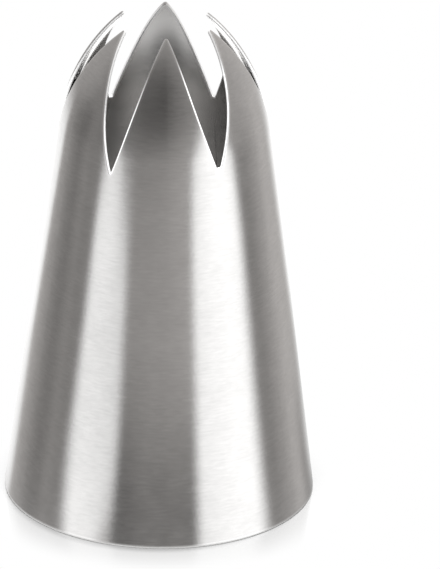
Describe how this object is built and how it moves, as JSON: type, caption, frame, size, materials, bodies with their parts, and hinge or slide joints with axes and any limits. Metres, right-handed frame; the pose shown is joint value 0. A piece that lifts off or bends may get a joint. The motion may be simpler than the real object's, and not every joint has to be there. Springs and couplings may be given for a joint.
{
  "type": "piping nozzle",
  "caption": "Tapered stainless-steel piping nozzle, open at its wide end, with pointed teeth pressed inwards to form a star-shaped outlet for icing or dough.",
  "frame": {"origin": "centre of the wide open end, on the plane that the nozzle stands on", "axes": "+Z along the cone from the wide end to the tooth tips; tooth_1 points to -Y, and two of the slots lie on +X and -X"},
  "size_m": [0.034, 0.034, 0.054],
  "materials": {
    "steel": "satin stainless steel, brushed round the axis, with bright deburred edges"
  },
  "bodies": {
    "root": {"cone_wall": "steel", "tooth_1": "steel", "tooth_2": "steel", "tooth_3": "steel", "tooth_4": "steel", "tooth_5": "steel", "tooth_6": "steel"}
  },
  "joints": []
}
